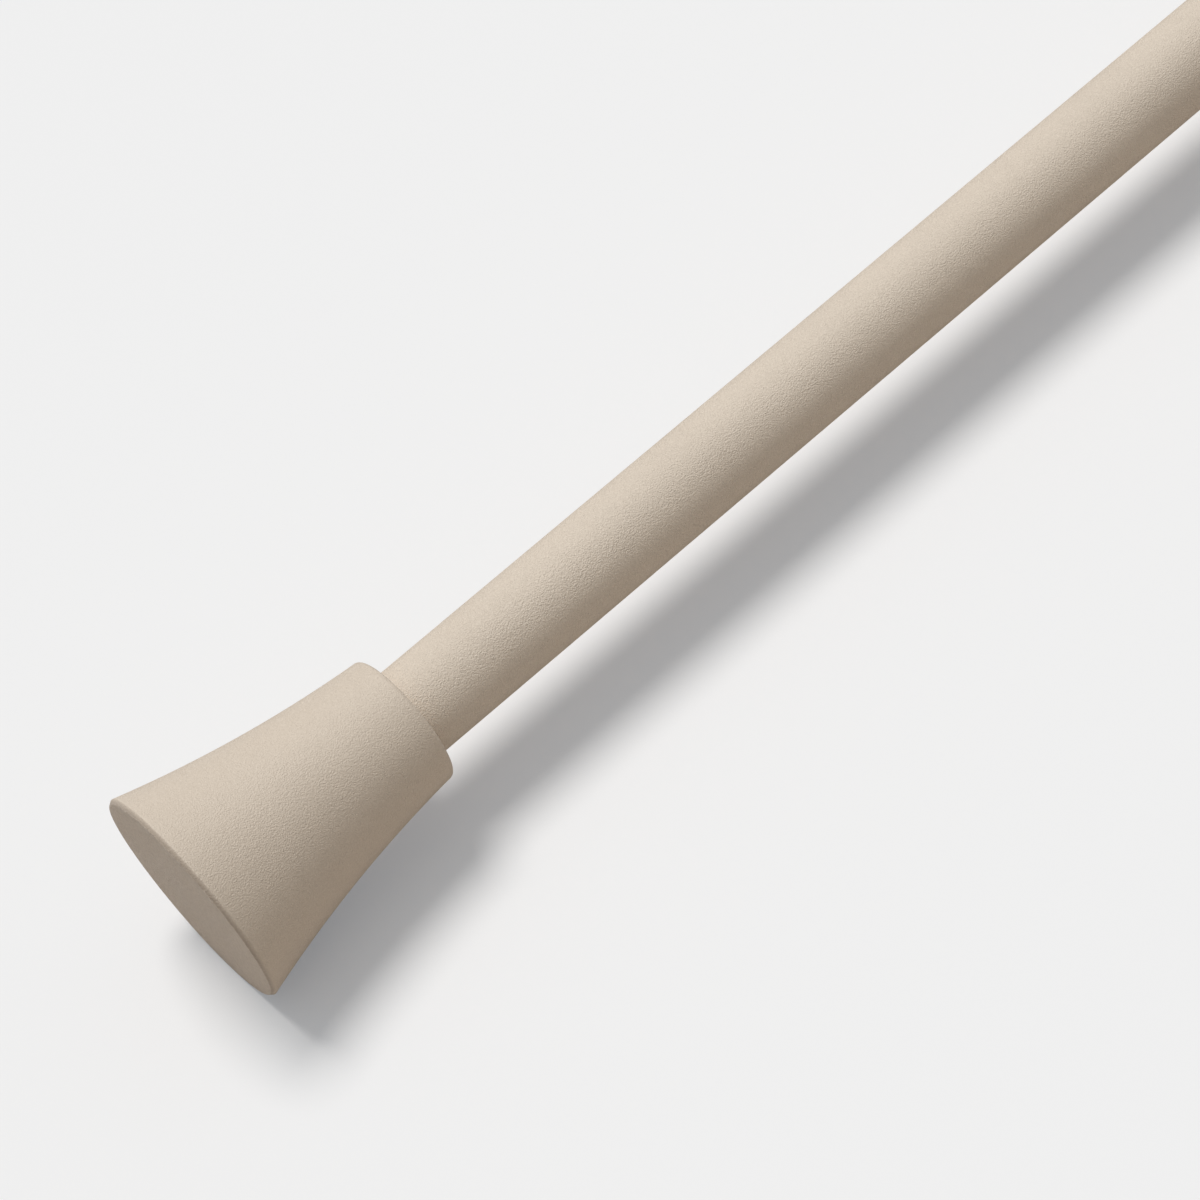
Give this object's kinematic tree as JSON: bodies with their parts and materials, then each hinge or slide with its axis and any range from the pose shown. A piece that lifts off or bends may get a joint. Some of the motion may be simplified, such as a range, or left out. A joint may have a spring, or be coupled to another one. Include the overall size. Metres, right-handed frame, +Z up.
{
  "type": "extendable curtain rod",
  "caption": "Telescoping curtain rod in beige textured powder coat: a thin tube slides and turns in a thicker one, with flat-faced trumpet finials held by set screws.",
  "frame": {"origin": "on the rod's axis, halfway between the two end faces in the rest pose", "axes": "+X along the rod from the thick tube's finial to the thin tube's finial, +Z up with the set screws underneath, +Y completes the frame"},
  "size_m": [0.85, 0.049, 0.049],
  "materials": {
    "powder_coat": "fine-textured matte beige powder coat",
    "beige_nylon": "moulded nylon, coloured to match",
    "natural_nylon": "moulded natural nylon",
    "plated_steel": "zinc-plated"
  },
  "bodies": {
    "thick_half": {"outer_tube": "powder_coat", "mouth_bush": "beige_nylon", "finial_left": "powder_coat", "set_screw_left": "plated_steel"},
    "glide": {"friction_ring": "natural_nylon"},
    "thin_half": {"inner_tube": "powder_coat", "glide_spool": "natural_nylon", "reducer_sleeve": "beige_nylon", "finial_right": "powder_coat", "set_screw_right": "plated_steel"}
  },
  "joints": [
    {"name": "extension", "type": "slide", "parent": "thick_half", "child": "glide", "axis": [1, 0, 0], "range_m": [-0.15, 0.35]},
    {"name": "twist", "type": "hinge", "parent": "glide", "child": "thin_half", "pos_m": [-0.1692, 0, 0], "axis": [1, 0, 0], "continuous": true}
  ]
}
